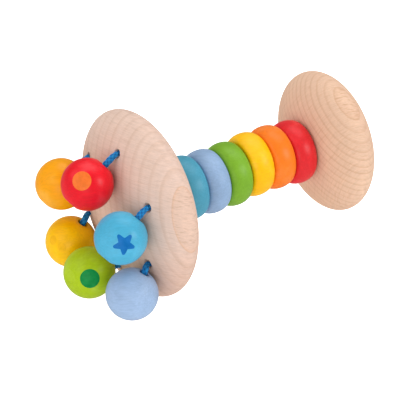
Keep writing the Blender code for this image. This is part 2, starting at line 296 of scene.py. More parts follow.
# ------------------------------------------------------------------ materials
def beech(name, layer, fibre, point, spacing, first, pale, warm, dark, seed, pith, wobble,
          lines=1.0, rays=1.0, band=2.4, painted_shade_below=None, heart=(1.0, 1.0, 1.0)):
    """Solid beech. The growth rings are large cylinders round a pith that runs with the
    fibre; each darkens outwards to a thin brown line and starts again pale. Rays are thin
    plates across the rings, seen as fine lines or short flecks.
    layer    outward direction at point (mm)
    spacing  ring width, first: place of one ring's end at point, pith: distance to the pith
    wobble, lines, rays  strength of the rings' waviness, of their lines and of the rays
    band     width of a ring's dark part
    fade     (direction, start, end, shade): painted shade, darkening the wood slowly along a direction, given as downwards
    heart    tint inside the ring that ends at `first`, where the flecks are stronger too"""
    g = Graph(name, tuple((a + b) / 2 for a, b in zip(pale, warm)))
    place = g.object_mm()
    origin = Vector(point)
    # along the fibre, along the ring, and outwards through the rings
    coords = [g.sub(g.dot(place, axis), axis.dot(origin)) for axis in triad(layer, fibre)]
    _, around, outward = coords

    # distance past the end of the first ring, made wavy at three sizes
    radial = g.add(outward, pith)
    dist = g.math("SQRT", g.add(g.mul(radial, radial), g.mul(around, around)))
    dist = g.sub(dist, pith + first)
    slow = g.grain(coords, (0.012, 0.035, 0.035), detail=1.0, rough=0.5, seed=seed)
    wave = g.grain(coords, (0.06, 0.16, 0.10), detail=2.0, rough=0.55, seed=seed + 3.7)
    fine = g.grain(coords, (0.30, 1.3, 0.8), detail=2.0, rough=0.6, seed=seed + 9.1)
    for swing, size in ((slow, 2.2 * wobble), (wave, 1.1 * wobble), (fine, 0.45)):
        dist = g.add(dist, g.mul(g.sub(swing, 0.5), size))
    dist = g.sub(dist, 0.45)
    eye = g.ramp(dist, (-0.15, 0.15), to=(1.0, 0.0), smooth=True)
    brim = g.mul(g.ramp(dist, (-0.34, -0.05), smooth=True),
                 g.ramp(dist, (0.02, 0.26), to=(1.0, 0.0), smooth=True))

    # late wood: the dark end of each year, of a strength that differs by year
    years = g.add(g.math("DIVIDE", dist, spacing), 40.0)
    inside = g.mul(g.math("FRACT", years), spacing)
    year = g.math("FLOOR", years)
    strength = g.noise(g.vec(g.mul(year, 3.17), 0.0, 0.0), detail=0.0, rough=0.5,
                       seed=seed + 31.0)
    strength = g.ramp(strength, (0.3, 0.7), to=(0.55, 1.0))
    late = g.mul(g.ramp(inside, (spacing - band, spacing - band * 0.25), smooth=True),
                 g.ramp(inside, (spacing - band * 0.21, spacing), to=(1.0, 0.0), smooth=True))
    late = g.mul(g.mul(late, strength), g.ramp(eye, (0.0, 1.0), to=(1.0, 0.35)))
    late = g.math("MAXIMUM", late, g.mul(brim, 0.95))
    faint = g.grain(coords, (0.02, 0.05, 4.4 / spacing), detail=2.0, rough=0.5,
                    seed=seed + 35.0)          # faint bands inside a year

    # rays: broad ones well apart, short ones, and a fine crowd between them
    broad = g.grain(coords, (0.30, 1.55, 0.085), detail=1.0, rough=0.5, seed=seed + 41.0)
    broad = g.ramp(broad, (0.56, 0.70), smooth=True)
    crowd = g.grain(coords, (0.55, 3.4, 0.16), detail=2.0, rough=0.6, seed=seed + 45.0)
    short = g.grain(coords, (0.45, 2.4, 0.25), detail=1.0, rough=0.5, seed=seed + 47.0)
    short = g.ramp(short, (0.54, 0.68), smooth=True)
    # vessels: hair-fine along the fibre, dots over the end grain
    hair = g.grain(coords, (0.28, 4.2, 4.2), detail=3.0, rough=0.65, seed=seed + 51.0)
    cloud = g.grain(coords, (0.03, 0.05, 0.05), detail=3.0, rough=0.55, seed=seed + 71.0)

    col = g.mix(g.ramp(cloud, (0.32, 0.68)), pale, warm)
    col = g.mix(g.mul(late, lines, clamp=True), col, dark)
    hearted = g.mix(1.0, col, heart, blend="MULTIPLY")
    col = g.mix(g.mul(eye, g.ramp(dist, (-0.75, -0.10), to=(0.35, 1.0))), col, hearted)
    more = g.ramp(eye, (0.0, 1.0), to=(1.0, 2.7))
    for flecks, depth in ((broad, 0.26), (short, 0.24)):
        col = g.mix(g.mul(g.mul(flecks, more), depth * rays, clamp=True), col, dark)
    col = g.tint(col, g.ramp(crowd, (0.28, 0.72), to=(1.0 - 0.075 * rays, 1.0 + 0.065 * rays)))
    col = g.tint(col, g.ramp(hair, (0.25, 0.75), to=(0.94, 1.05)))
    col = g.tint(col, g.ramp(faint, (0.3, 0.7), to=(0.975, 1.02)))
    # painted shade: the wood darkens slowly towards the bottom of the disc
    if painted_shade_below:
        direction, start, end, shade = painted_shade_below
        reach = g.ramp(g.dot(place, Vector(direction).normalized()), (start, end), smooth=True)
        col = g.mix(reach, col, g.mix(1.0, col, shade, blend="MULTIPLY"))

    relief = g.add(g.mul(hair, 0.55), g.mul(broad, -0.35))
    relief = g.add(relief, g.mul(crowd, 0.3))
    relief = g.add(relief, g.mul(late, 0.25))
    return g.finish({
        "Base Color": col,
        "Roughness": g.add(g.ramp(hair, (0.3, 0.7), to=(0.52, 0.64)), g.mul(late, -0.06)),
        "Specular IOR Level": 0.15,
        "Normal": g.bump(relief, depth=0.05, strength=0.45),
    })


def painted(name, base, seed, grain, rough=0.36):
    """Satin glaze on beech: the grain shows faintly through the colour, the glaze is a little
    thinner on some patches and has a soft orange peel. grain is the fibre's direction."""
    g = Graph(name, base)
    place = g.object_mm()
    coords = [g.dot(place, axis) for axis in triad((0.2, 0.5, 1.0), grain)]
    streak = g.grain(coords, (0.16, 1.7, 1.7), detail=3.0, rough=0.6, seed=seed)
    flecks = g.grain(coords, (0.9, 4.5, 0.8), detail=1.0, rough=0.5, seed=seed + 5)
    flecks = g.ramp(flecks, (0.60, 0.74), smooth=True)
    patch = g.noise(place, scale=0.13, detail=2.0, rough=0.5, seed=seed + 11)
    peel = g.noise(place, scale=1.5, detail=2.0, rough=0.5, seed=seed + 17)
    grit = g.noise(place, scale=7.0, detail=2.0, rough=0.6, seed=seed + 23)

    deep = 0.88             # how dark thick glaze is
    dark = tuple(c * deep for c in base)
    if base[0] > 0.9:       # the warm colours go orange, not grey, where the glaze is thick
        dark = (base[0] * 0.985, base[1] * deep * 0.98, base[2] * deep)
    top = max(base)
    thin = tuple(min(1.0, c + 0.10 * (top - c) + 0.02) for c in base)
    col = g.mix(g.ramp(patch, (0.30, 0.70)), dark, base)
    col = g.mix(g.ramp(patch, (0.52, 0.80), to=(0.0, 0.40)), col, thin)
    col = g.tint(col, g.ramp(streak, (0.28, 0.72), to=(0.89, 1.07)))
    col = g.mix(g.mul(flecks, 0.34), col, dark)

    relief = g.add(g.mul(peel, 0.6), g.mul(streak, 0.35))
    relief = g.add(relief, g.mul(flecks, -0.35))
    return g.finish({
        "Base Color": col,
        "Roughness": g.ramp(g.add(g.mul(patch, 0.6), g.mul(grit, 0.4)), (0.3, 0.7),
                            to=(rough - 0.04, rough + 0.08)),
        "Specular IOR Level": 0.18,
        "Coat Weight": 0.03,
        "Coat Roughness": 0.28,
        "Normal": g.bump(relief, depth=0.05, strength=0.35),
    })


def printed(name, base, seed):
    """Opaque printed colour for the marks on the beads."""
    g = Graph(name, base)
    place = g.object_mm()
    patch = g.noise(place, scale=0.5, detail=3.0, rough=0.6, seed=seed)
    grit = g.noise(place, scale=6.0, detail=2.0, rough=0.6, seed=seed + 3)
    col = g.mix(g.ramp(patch, (0.3, 0.7)), tuple(c * 0.88 for c in base),
                tuple(min(1, c * 1.06 + 0.01) for c in base))
    relief = g.add(g.mul(patch, 0.5), g.mul(grit, 0.3))
    return g.finish({
        "Base Color": g.tint(col, g.ramp(grit, (0.3, 0.7), to=(0.96, 1.03))),
        "Roughness": g.ramp(patch, (0.3, 0.7), to=(0.34, 0.42)),
        "Specular IOR Level": 0.12,
        "Coat Weight": 0.03,
        "Coat Roughness": 0.3,
        "Normal": g.bump(relief, depth=0.03, strength=0.3),
    })


def braid(name, base, deep, light, seed):
    """Braided cord with the strands' own filaments, with painted shade where a strand dives
    under the next and a painted highlight on the strands' crowns. Reads the UV map and
    attributes that tube() writes."""
    g = Graph(name, base)
    split = g.put("ShaderNodeSeparateXYZ")
    g.join(g.put("ShaderNodeUVMap", uv_map="braid").outputs[0], split.inputs[0])
    a, b = split.outputs[0], split.outputs[1]
    height = g.put("ShaderNodeAttribute", attribute_name="cord_h").outputs["Fac"]
    family = g.put("ShaderNodeAttribute", attribute_name="cord_fam").outputs["Fac"]
    across = g.add(g.mul(a, g.sub(1.0, family)), g.mul(b, family))
    along = g.add(g.mul(b, g.sub(1.0, family)), g.mul(a, family))
    filaments = g.math("ABSOLUTE", g.math("SINE", g.mul(across, math.pi * 7)))
    fray = g.noise(g.vec(g.mul(across, 16.0), g.mul(along, 2.2), 0.0),
                   detail=3.0, rough=0.6, seed=seed)
    fuzz = g.noise(g.vec(g.mul(a, 9.0), g.mul(b, 9.0), 0.0),
                   detail=3.0, rough=0.7, seed=seed + 2)

    # painted shade: the colour goes towards deep in the hollows where a strand dives under the
    # next
    col = g.mix(g.ramp(height, (0.34, 0.92), smooth=True), deep, base)
    # painted highlight: the strands' crowns go towards light, broken up by the fray noise
    painted_highlight = g.mul(g.ramp(height, (1.00, 1.42), to=(0.0, 0.62)),
                 g.ramp(fray, (0.30, 0.60), to=(0.2, 1.0)))
    col = g.mix(painted_highlight, col, light)
    col = g.tint(col, g.ramp(filaments, (0.0, 1.0), to=(0.78, 1.08)))
    col = g.tint(col, g.ramp(fuzz, (0.25, 0.75), to=(0.88, 1.1)))
    relief = g.add(g.mul(filaments, 0.5), g.mul(fray, 0.5))
    return g.finish({
        "Base Color": col,
        "Roughness": g.ramp(fuzz, (0.3, 0.7), to=(0.62, 0.82)),
        "Specular IOR Level": 0.35,
        "Sheen Weight": 0.12,
        "Sheen Roughness": 0.45,
        "Sheen Tint": (*light, 1),
        "Normal": g.bump(relief, depth=0.06, strength=0.6),
    })


def floor_white():
    """Glowing white floor, dimmer for reflections and for indirect light."""
    g = Graph("floor_white", (0.9, 0.9, 0.9))
    cloud = g.noise(g.object_mm(), scale=0.02, detail=3.0, rough=0.6, seed=1.0)
    path = g.put("ShaderNodeLightPath").outputs
    camera_ray = path["Is Camera Ray"]
    level = g.sub(1.0, g.mul(path["Is Glossy Ray"], 0.65))
    level = g.mul(level, g.ramp(camera_ray, (0.0, 1.0), to=(0.88, 1.0)))
    white = g.mix(g.ramp(cloud, (0.3, 0.7)), (0.90, 0.90, 0.90), (0.93, 0.93, 0.93))
    return g.finish({
        "Base Color": g.tint(white, level),
        "Roughness": 0.75,
        "Specular IOR Level": 0.2,
        "Emission Color": (1, 1, 1, 1),
        "Emission Strength": g.mul(level, g.ramp(camera_ray, (0.0, 1.0), to=(0.33, 0.78))),
    })


# ------------------------------------------------------------------ meshes
def mesh_of(bm, name):
    """Turns a bmesh into a mesh and frees it."""
    mesh = bpy.data.meshes.new(name)
    bm.to_mesh(mesh)
    bm.free()
    return mesh


def new_object(name, mesh, mat=None, smooth_angle=40.0):
    ob = bpy.data.objects.new(name, mesh)
    bpy.context.scene.collection.objects.link(ob)
    if mat is not None:
        mesh.materials.append(mat)
    mesh.shade_smooth()
    mesh.set_sharp_from_angle(angle=math.radians(smooth_angle))
    return ob


def fit(ob, body, slot, *cad_nodes):
    """Hangs ob on a body, in place of CAD nodes if any are given."""
    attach(ob, body)
    if cad_nodes:
        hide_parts(*cad_nodes)


def lathe(name, profile, segments, mat=None, closed=False, matrix=None):
    """Solid of revolution about local +X from (x, r) rows in mm. closed joins the last row
    to the first."""
    bm = bmesh.new()
    rows = []
    for x, r in profile:
        if r < 1e-6:
            rows.append([bm.verts.new((mm(x), 0.0, 0.0))])
        else:
            rows.append([bm.verts.new((mm(x), mm(r * math.cos(2 * math.pi * k / segments)),
                                       mm(r * math.sin(2 * math.pi * k / segments))))
                         for k in range(segments)])
    pairs = list(zip(rows, rows[1:]))
    if closed:
        pairs.append((rows[-1], rows[0]))
    for a, b in pairs:
        for k in range(segments):
            n = (k + 1) % segments
            if len(a) == 1:
                bm.faces.new((a[0], b[k], b[n]))
            elif len(b) == 1:
                bm.faces.new((a[k], b[0], a[n]))
            else:
                bm.faces.new((a[k], b[k], b[n], a[n]))
    bmesh.ops.recalc_face_normals(bm, faces=bm.faces)
    if matrix is not None:
        bm.transform(matrix)
    return new_object(name, mesh_of(bm, name), mat)


def axis_matrix(origin, direction):
    """Local +X to direction, placed at origin (mm)."""
    x = Vector(direction).normalized()
    up = Vector((0, 0, 1))
    if abs(up.dot(x)) > 0.95:
        up = Vector((0, 1, 0))
    y = up.cross(x).normalized()
    matrix = Matrix((x, y, x.cross(y))).transposed().to_4x4()
    matrix.translation = Vector(origin) * 0.001
    return matrix


def fillet(before, corner, after, radius, steps):
    """Rounds a corner between two legs in the (x, r) plane."""
    corner = Vector(corner)
    leg_a, leg_b = Vector(before) - corner, Vector(after) - corner
    len_a, len_b = leg_a.length, leg_b.length
    half_angle = leg_a.angle(leg_b) / 2
    trim = min(radius / math.tan(half_angle), len_a * 0.49, len_b * 0.49)
    start, end = corner + leg_a / len_a * trim, corner + leg_b / len_b * trim
    points = []
    for k in range(steps + 1):
        u = k / steps
        point = (1 - u) ** 2 * start + 2 * u * (1 - u) * corner + u ** 2 * end
        points.append((point.x, point.y))
    return points


def rounded(points, radii, steps):
    """Polyline (x, r) with each inner corner rounded by its radius; both ends stay."""
    out = [tuple(points[0])]
    for i in range(1, len(points) - 1):
        out += fillet(points[i - 1], points[i], points[i + 1], radii[i], steps)
    out.append(tuple(points[-1]))
    return out


def soft_min(a, b):
    """Smaller of two lengths, eased over about 0.05 mm where they meet."""
    ease = 0.05
    low = min(a, b)
    return low - ease * math.log(math.exp(-(a - low) / ease) + math.exp(-(b - low) / ease))


def volume(mesh):
    bm = bmesh.new()
    bm.from_mesh(mesh)
    cubic_mm = bm.calc_volume() * 1e9
    bm.free()
    return cubic_mm


def is_one_closed_surface(mesh):
    bm = bmesh.new()
    bm.from_mesh(mesh)
    shut = all(edge.is_manifold for edge in bm.edges)
    unseen = set(bm.verts)
    reached = [unseen.pop()]
    while reached:
        for edge in reached.pop().link_edges:
            for vert in edge.verts:
                if vert in unseen:
                    unseen.discard(vert)
                    reached.append(vert)
    bm.free()
    return shut and not unseen


def cut(ob, cutter):
    """Takes cutter out of ob and removes it."""
    modifier = ob.modifiers.new("cut", 'BOOLEAN')
    modifier.object = cutter
    modifier.operation = 'DIFFERENCE'
    modifier.solver = 'EXACT'
    depsgraph = bpy.context.evaluated_depsgraph_get()
    mesh = bpy.data.meshes.new_from_object(ob.evaluated_get(depsgraph), depsgraph=depsgraph)
    ob.modifiers.clear()
    old = ob.data
    ob.data = mesh
    bpy.data.meshes.remove(old)
    bpy.data.objects.remove(cutter, do_unlink=True)


def bored(ob, rows, matrix, segments):
    """Cuts a turned tool out of ob. A cut must take some wood away, less than the tool
    holds, and leave one closed surface; if it doesn't, it is made again with a tool of one
    more side."""
    before = volume(ob.data)
    for extra in range(12):
        tool = lathe("cutter", rows, segments + extra, matrix=matrix)
        size = volume(tool.data)
        bpy.context.view_layer.update()
        keep = ob.data.copy()
        cut(ob, tool)
        taken = before - volume(ob.data)
        if 0 < taken < size and is_one_closed_surface(ob.data):
            bpy.data.meshes.remove(keep)
            return
        failed = ob.data
        ob.data = keep
        bpy.data.meshes.remove(failed)
    raise RuntimeError("no clean cut")


# ------------------------------------------------------------------ wood
WOOD_LARGE = dict(
    layer=(-0.07, 0.98, -0.187), fibre=(-0.949, -0.008, 0.315), point=(-101.1, -17.0, 16.3),
    spacing=5.0, first=-13.5, seed=1.3, pith=78.0, wobble=0.38, lines=0.42,
    pale=(0.730, 0.540, 0.455), warm=(0.760, 0.548, 0.445), dark=(0.610, 0.400, 0.290),
    # fade: painted shade, darker towards the bottom of the large disc
    painted_shade_below=((0, -0.3, -1), 4.0, 34.0, (0.91, 0.83, 0.80)), heart=(1.02, 0.915, 0.80))
WOOD_SMALL = dict(
    layer=(-0.025, 0.419, -0.908), fibre=(0.952, -0.267, -0.15), point=(-15.9, -14.1, 10.3),
    spacing=2.75, first=-11.45, seed=4.1, pith=89.0, wobble=0.55, lines=0.44,
    pale=(0.750, 0.500, 0.360), warm=(0.780, 0.530, 0.375), dark=(0.580, 0.320, 0.195),
    band=1.25, rays=0.85,
    # fade: painted shade, darker towards the bottom of the small disc
    painted_shade_below=((0, 0.3, -1), 4.0, 27.0, (0.95, 0.90, 0.86)), heart=(1.0, 0.985, 0.96))
WOOD_SPINDLE = dict(
    layer=(0.0, 0.3, 1.0), fibre=(1, 0, 0), point=(0, 0, 20),
    spacing=2.4, first=0.0, seed=7.7, pith=40.0, wobble=0.5,
    pale=(0.72, 0.54, 0.42), warm=(0.76, 0.56, 0.42), dark=(0.55, 0.36, 0.24))


# ------------------------------------------------------------------ discs and spindle
def disc_rows(disc):
    """Lens-shaped outline from -X to +X, with its flat land eased in and a blind bore."""
    share = land_share(disc.radius, disc.power)
    outline = []
    for k in range(-DISC_STEPS, DISC_STEPS + 1):
        angle = math.pi / 2 * k / DISC_STEPS
        r = disc.radius * max(0.0, math.cos(angle)) ** (2 * disc.power)
        half = disc.half_neg if k < 0 else disc.half_pos
        x = disc.rim_x + math.copysign(soft_min(abs(math.sin(angle)) * half, share * half), k)
        outline.append((x, 0.0 if r < 1e-4 else r))

    clear_r = DISC_BORE_R + 0.8         # the outline stops here on the bored face
    ease_r = 0.35
    end, wall = (disc.bore_end, 0.0), (disc.bore_end, DISC_BORE_R)
    if disc.bore_side < 0:
        keep = [p for i, p in enumerate(outline) if i > DISC_STEPS or p[1] > clear_r]
        mouth = rounded([wall, (keep[0][0], DISC_BORE_R), keep[0]], [0, ease_r, 0], steps=4)
        return [end] + mouth + keep[1:]
    keep = [p for i, p in enumerate(outline) if i < DISC_STEPS or p[1] > clear_r]
    mouth = rounded([keep[-1], (keep[-1][0], DISC_BORE_R), wall], [0, ease_r, 0], steps=4)
    return keep[:-1] + mouth + [end]


def large_offset(r):
    """Distance from the large disc's rim plane to its face at radius r."""
    share = (max(r, LAND_R) / LARGE.radius) ** (1 / LARGE.power)
    return LARGE.half_pos * math.sqrt(max(0.0, 1 - share))


def cord_layout(colour):
    """Where a bead's cord runs. mouth and back are the hole's ends on the large disc's -X and
    +X faces; bore is the bead's axis, which can differ a little from the cord's."""
    pivot = Vector(JOINTS[f"bead_{colour}_lift"]["pos_m"]) * 1000
    centre = mid("bead_" + colour)
    offset = large_offset(math.hypot(pivot.y, pivot.z))
    inward = -Vector(JOINTS[f"bead_{colour}_sway"]["axis"])     # into the wood at the mouth
    if inward.x < 0:
        inward = -inward
    return SimpleNamespace(
        pivot=pivot, centre=centre, inward=inward,
        hang=(centre - pivot).normalized(), length=(centre - pivot).length,
        bore=(mid("bead_plug_" + colour) - centre).normalized(),
        mouth=Vector((LARGE.rim_x - offset, pivot.y, pivot.z)),
        back=Vector((LARGE.rim_x + offset, pivot.y, pivot.z)))


def bore_cord_hole(disc, cord):
    """Through hole with a counterbore for the knot, and both edges broken."""
    mouth_x, back_x = cord.mouth.x, cord.back.x
    floor_x = back_x - KNOT_BORE_DEPTH
    beyond = 8          # how far the tool sticks out of the disc
    rows = [(mouth_x - beyond, 0), (mouth_x - beyond, HOLE_R), (floor_x, HOLE_R),
            (floor_x, KNOT_BORE_R), (back_x + beyond, KNOT_BORE_R), (back_x + beyond, 0)]
    bored(disc, rows, Matrix.Translation((0, mm(cord.mouth.y), mm(cord.mouth.z))), segments=40)

    # eased mouth, square to the face and worn on the far side from the bead
    pull = cord.hang - cord.hang.dot(cord.inward) * cord.inward
    ease = HOLE_EASE_R
    rim = HOLE_R + ease + 0.25
    rows = [(-3.0, 0.0), (-3.0, rim), (-0.05, rim)]
    for k in range(7):
        angle = math.pi / 2 * k / 6
        rows.append((-0.02 + ease * (1 - math.cos(angle)),
                     HOLE_R + ease - ease * math.sin(angle) + 0.06))
    rows += [(ease + 0.2, HOLE_R - 0.15), (ease + 0.2, 0.0)]
    start = cord.mouth - pull.normalized() * HOLE_WEAR
    bored(disc, rows, axis_matrix(start, cord.inward), segments=40)

    # chamfer on the counterbore's edge
    back_inward = Vector((-cord.inward.x, cord.inward.y, cord.inward.z))
    depth = 0.42
    rows = [(-3.0, 0.0), (-3.0, KNOT_BORE_R + 0.5), (0.0, KNOT_BORE_R + 0.42),
            (depth, KNOT_BORE_R - 0.1), (depth, 0.0)]
    bored(disc, rows, axis_matrix(cord.back, back_inward), segments=48)


def set_turned_normals(ob, disc):
    """Exact shading normals on the turned faces, so the cuts leave no ripples round them."""
    mesh = ob.data
    mesh.shade_smooth()
    mesh.set_sharp_from_angle(angle=math.radians(38))
    half, power = disc.half_pos, disc.power
    exact = [None] * len(mesh.vertices)
    for vert in mesh.vertices:
        p = vert.co * 1000
        r = math.hypot(p.y, p.z)
        if r < LAND_R + 3 or r > disc.radius * 0.999:
            continue
        offset = abs(p.x - disc.rim_x)
        want = half * math.sqrt(max(0.0, 1 - (r / disc.radius) ** (1 / power)))
        if abs(offset - want) > 0.02 or offset < 0.4:
            continue
        slope = (-half * 0.5 / max(1e-6, offset / half) * (1 / power)
                 * (r / disc.radius) ** (1 / power - 1) / disc.radius)
        length = math.hypot(1.0, -slope)
        nx = math.copysign(1.0 / length, p.x - disc.rim_x)
        exact[vert.index] = Vector((nx, p.y / r * -slope / length, p.z / r * -slope / length))
    base = [Vector(corner.vector) for corner in mesh.corner_normals]
    normals = []
    for poly in mesh.polygons:
        for li in poly.loop_indices:
            want = exact[mesh.loops[li].vertex_index]
            use_exact = want is not None and want.dot(poly.normal) > 0.93
            normals.append(want if use_exact else base[li])
    mesh.normals_split_custom_set(normals)


def build_large_disc(wood):
    """Gives the layout of the cords, by bead colour."""
    disc = lathe("turned_large_disc", disc_rows(LARGE), segments=224, mat=wood)
    cords = {colour: cord_layout(colour) for colour in BEAD_COLOURS}
    for cord in cords.values():
        bore_cord_hole(disc, cord)
    set_turned_normals(disc, LARGE)
    disc.data.materials.clear()
    disc.data.materials.append(wood)
    fit(disc, "body", "beech_large", "large_disc")
    return cords


def build_small_disc(wood):
    disc = lathe("turned_small_disc", disc_rows(SMALL), segments=192, mat=wood)
    fit(disc, "body", "beech_small", "small_disc")


def build_spindle(wood):
    lo, hi = cad_box("spindle")
    rows = rounded([(lo.x, 0), (lo.x, SPINDLE_R), (hi.x, SPINDLE_R), (hi.x, 0)],
                   [0, 0.6, 0.6, 0], steps=5)
    spindle = lathe("turned_spindle", rows, segments=72, mat=wood)
    fit(spindle, "body", "beech_raw", "spindle")


# ------------------------------------------------------------------ rings
def build_ring(i, colour):
    lo, hi = cad_box("ring_" + colour)
    half, radius = (hi.x - lo.x) / 2, (hi.z - lo.z) / 2
    outer = []
    for k in range(-26, 27):
        t = math.sin(math.pi / 2 * k / 26)
        bulge = max(0.0, 1 - abs(t) ** RING_ROUND) ** (1 / RING_ROUND)
        outer.append((t * half, RING_FACE_R + (radius - RING_FACE_R) * bulge))
    inner = rounded([(half, RING_FACE_R), (half, RING_BORE_R), (-half, RING_BORE_R),
                     (-half, RING_FACE_R)], [0, 0.55, 0.55, 0], steps=5)
    centre = (mm((lo.x + hi.x) / 2), mm((lo.y + hi.y) / 2), mm((lo.z + hi.z) / 2))
    mat = painted("glaze_ring_" + colour, RING_COLOURS[colour], seed=10.0 + 3.3 * i,
                  grain=(0.3, math.cos(i * 1.3), math.sin(i * 1.3)))
    ring = lathe("turned_ring_" + colour, outer[:-1] + inner[:-1], segments=160, mat=mat,
                 closed=True, matrix=Matrix.Translation(centre))
    fit(ring, "ring_" + colour, "ring_" + colour, "ring_" + colour)


# ------------------------------------------------------------------ beads and plugs
def bead_rows():
    """Bead outline about its bore, with the plugged end at +X."""
    reach = math.asin(BEAD_HALF / BEAD_R)
    arc = [(BEAD_R * math.sin(reach * k / 40), BEAD_R * math.cos(reach * k / 40))
           for k in range(-39, 40)]
    end = [arc[-1], (BEAD_HALF, BEAD_FLAT_R), (BEAD_HALF, BEAD_BORE_R), (0, BEAD_BORE_R)]
    # the plugged end keeps a crisp bore edge, the cord's end is eased
    mouth = rounded(end, [0, 0.28, 0.12, 0], steps=5)
    plugged = rounded(end, [0, 0.28, 0.03, 0], steps=5)
    return arc + plugged[1:-1] + [(-x, r) for x, r in reversed(mouth[1:-1])]


def plug_rows():
    x0, x1 = BEAD_HALF - PLUG_L, BEAD_HALF - PLUG_SUNK
    return rounded([(x0, 0), (x0, PLUG_R), (x1, PLUG_R), (x1, 0)], [0, 0.3, 0.03, 0], steps=4)


def build_bead(i, colour, cord):
    name = "bead_" + colour
    mat = painted("glaze_" + name, BEAD_COLOURS[colour], seed=40.0 + 4.1 * i, rough=0.34,
                  grain=cord.bore)
    matrix = axis_matrix(cord.centre, cord.bore)
    bead = lathe("turned_" + name, bead_rows(), segments=144, mat=mat, closed=True,
                 matrix=matrix)
    fit(bead, name, name, name)
    plug = lathe("turned_bead_plug_" + colour, plug_rows(), segments=56, mat=mat,
                 matrix=matrix)
    fit(plug, name, "beech_raw", "bead_plug_" + colour)


# ------------------------------------------------------------------ camera
RIGHT = Vector((0.84386, -0.53656, 0.0)).normalized()
AHEAD = Vector((0.45413, 0.71423, -0.53258)).normalized()
UP = RIGHT.cross(AHEAD).normalized()
CAMERA_AT = Vector((-0.5212, -0.7115, 0.5228))      # metres


def build_camera():
    data = bpy.data.cameras.new("camera")
    data.lens = 235.5
    data.sensor_width = 36.0
    data.clip_start = 0.05
    data.clip_end = 20.0
    camera = bpy.data.objects.new("camera", data)
    matrix = Matrix((RIGHT, UP, -AHEAD)).transposed().to_4x4()
    matrix.translation = CAMERA_AT
    camera.matrix_world = matrix
    bpy.context.scene.collection.objects.link(camera)
    bpy.context.scene.camera = camera


def from_view(right, up, near):
    """Direction given as the camera's right, its up and towards the viewer."""
    return (RIGHT * right + UP * up - AHEAD * near).normalized()


# ------------------------------------------------------------------ printed marks on the beads
MARK_THICK = 0.035
MARK_ROOT_R = BEAD_R - 0.12         # underside, sunk in the bead
MARK_STEPS = 14
MARK_AROUND = 192


def mark(name, colour, cords, facing, outline, mat, turn=0.0):
    """A thin closed skin of paint on a bead. facing: direction of its middle; outline(phi)
    gives the mark's radius on the surface in mm."""
    centre = cords[colour].centre * 0.001
    x = (RIGHT - RIGHT.dot(facing) * facing).normalized()
    y = facing.cross(x)
    bm = bmesh.new()

    def vert(phi, rho, radius):
        angle = rho / BEAD_R
        side = x * math.cos(phi) + y * math.sin(phi)
        return bm.verts.new(
            centre + (facing * math.cos(angle) + side * math.sin(angle)) * mm(radius))

    # (share of the outline, radius from the bead's centre), over the edge and back below
    levels = [(k / MARK_STEPS, BEAD_R + MARK_THICK) for k in range(1, MARK_STEPS)]
    levels += [(0.985, BEAD_R + MARK_THICK * 0.9), (1.0, BEAD_R + MARK_THICK * 0.45),
               (1.0, MARK_ROOT_R)]
    levels += [(k / 4, MARK_ROOT_R) for k in range(3, 0, -1)]
    top = vert(0, 0, BEAD_R + MARK_THICK)
    phis = [2 * math.pi * k / MARK_AROUND for k in range(MARK_AROUND)]
    loops = [[vert(phi + turn, share * outline(phi), radius) for phi in phis]
             for share, radius in levels]
    bottom = vert(0, 0, MARK_ROOT_R)
    for k in range(MARK_AROUND):
        n = (k + 1) % MARK_AROUND
        bm.faces.new((top, loops[0][k], loops[0][n]))
        for p, q in zip(loops, loops[1:]):
            bm.faces.new((p[k], q[k], q[n], p[n]))
        bm.faces.new((loops[-1][k], bottom, loops[-1][n]))
    bmesh.ops.recalc_face_normals(bm, faces=bm.faces)
    ob = new_object(name, mesh_of(bm, name), mat, smooth_angle=50)
    fit(ob, "bead_" + colour, "bead_" + colour)


def dot_outline(degrees):
    """Round mark of a given angular radius seen from the bead's centre."""
    return lambda phi: BEAD_R * math.radians(degrees)


def star_outline(outer, inner):
    """Five-pointed star with rounded tips."""
    half = math.pi / 5
    tip = Vector((outer * 1.36, 0))
    notch = Vector((inner * math.cos(half), inner * math.sin(half)))
    edge = notch - tip
    ease = 0.24
    cap = outer + 0.10          # the tips are eased towards this radius

    def radius(phi):
        turn = (phi / (2 * math.pi) * 5) % 1.0
        near_tip = 1 - abs(turn - 0.5) * 2
        slope = math.tan(near_tip * half)
        # where the ray meets the straight edge between tip and notch
        s = (slope * tip.x) / (edge.y - slope * edge.x)
        r = (tip + edge * s).length
        return -ease * math.log(math.exp(-r / ease) + math.exp(-cap / ease))
    return radius


def build_marks(cords):
    mark("print_dot_red", "red", cords, from_view(-0.170, 0.128, 0.977), dot_outline(21.0),
         printed("print_orange", (0.850, 0.170, 0.020), seed=3.0))
    mark("print_dot_green", "green", cords, from_view(0.057, -0.224, 0.973),
         dot_outline(21.8), printed("print_green", (0.000, 0.262, 0.050), seed=5.0))
    mark("print_star_sky", "sky", cords, from_view(0.158, -0.214, 0.962),
         star_outline(outer=4.15, inner=2.30),
         printed("print_blue", (0.000, 0.145, 0.455), seed=7.0), turn=-math.pi / 2 - 0.06)
    amber = printed("print_amber", (0.920, 0.480, 0.000), seed=9.0)
    mark("print_spot_left", "yellow", cords, from_view(-0.665, 0.06, 0.745),
         dot_outline(10.5), amber)
    mark("print_spot_low", "yellow", cords, from_view(-0.315, -0.215, 0.925),
         dot_outline(10.5), amber)


# ------------------------------------------------------------------ cords
CARRIERS = 4            # per hand, so eight strands in all
PITCH = 7.4             # cord length for one turn of a strand
BRAID_SHIFT = 40        # keeps the braid coordinates clear of zero
CORD_START = 0.95       # inside the hole; short enough to swing without meeting its wall
CORD_BEND_R = 1.7       # length of the bend outside the pivot
CORD_IN_BEAD = 3.2
X = Vector((1, 0, 0))


